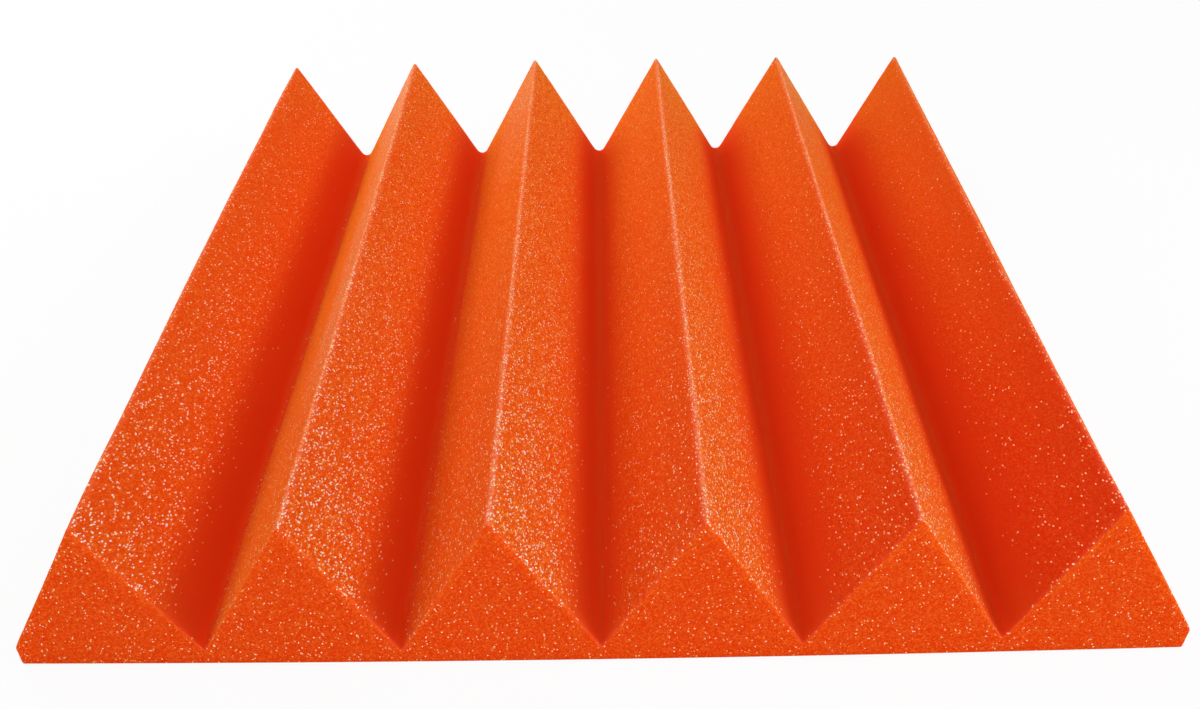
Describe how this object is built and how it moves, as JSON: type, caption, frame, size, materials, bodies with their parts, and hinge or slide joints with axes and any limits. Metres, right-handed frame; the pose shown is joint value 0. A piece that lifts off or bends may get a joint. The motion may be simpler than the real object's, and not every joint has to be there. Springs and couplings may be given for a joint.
{
  "type": "acoustic foam panel",
  "caption": "Square open-cell foam wall tile with parallel wedge ridges on a thin solid base, for absorbing sound in a studio.",
  "frame": {"origin": "centre of the flat back, which is glued to the wall", "axes": "+Z out of the wall through the ridges, +Y along the ridges, +X across them"},
  "size_m": [0.3, 0.3, 0.046],
  "materials": {
    "foam": "open-cell polyurethane foam, dyed through in saturated orange, matte, with fine glinting cell walls"
  },
  "bodies": {
    "root": {"foam_panel": "foam"}
  },
  "joints": []
}
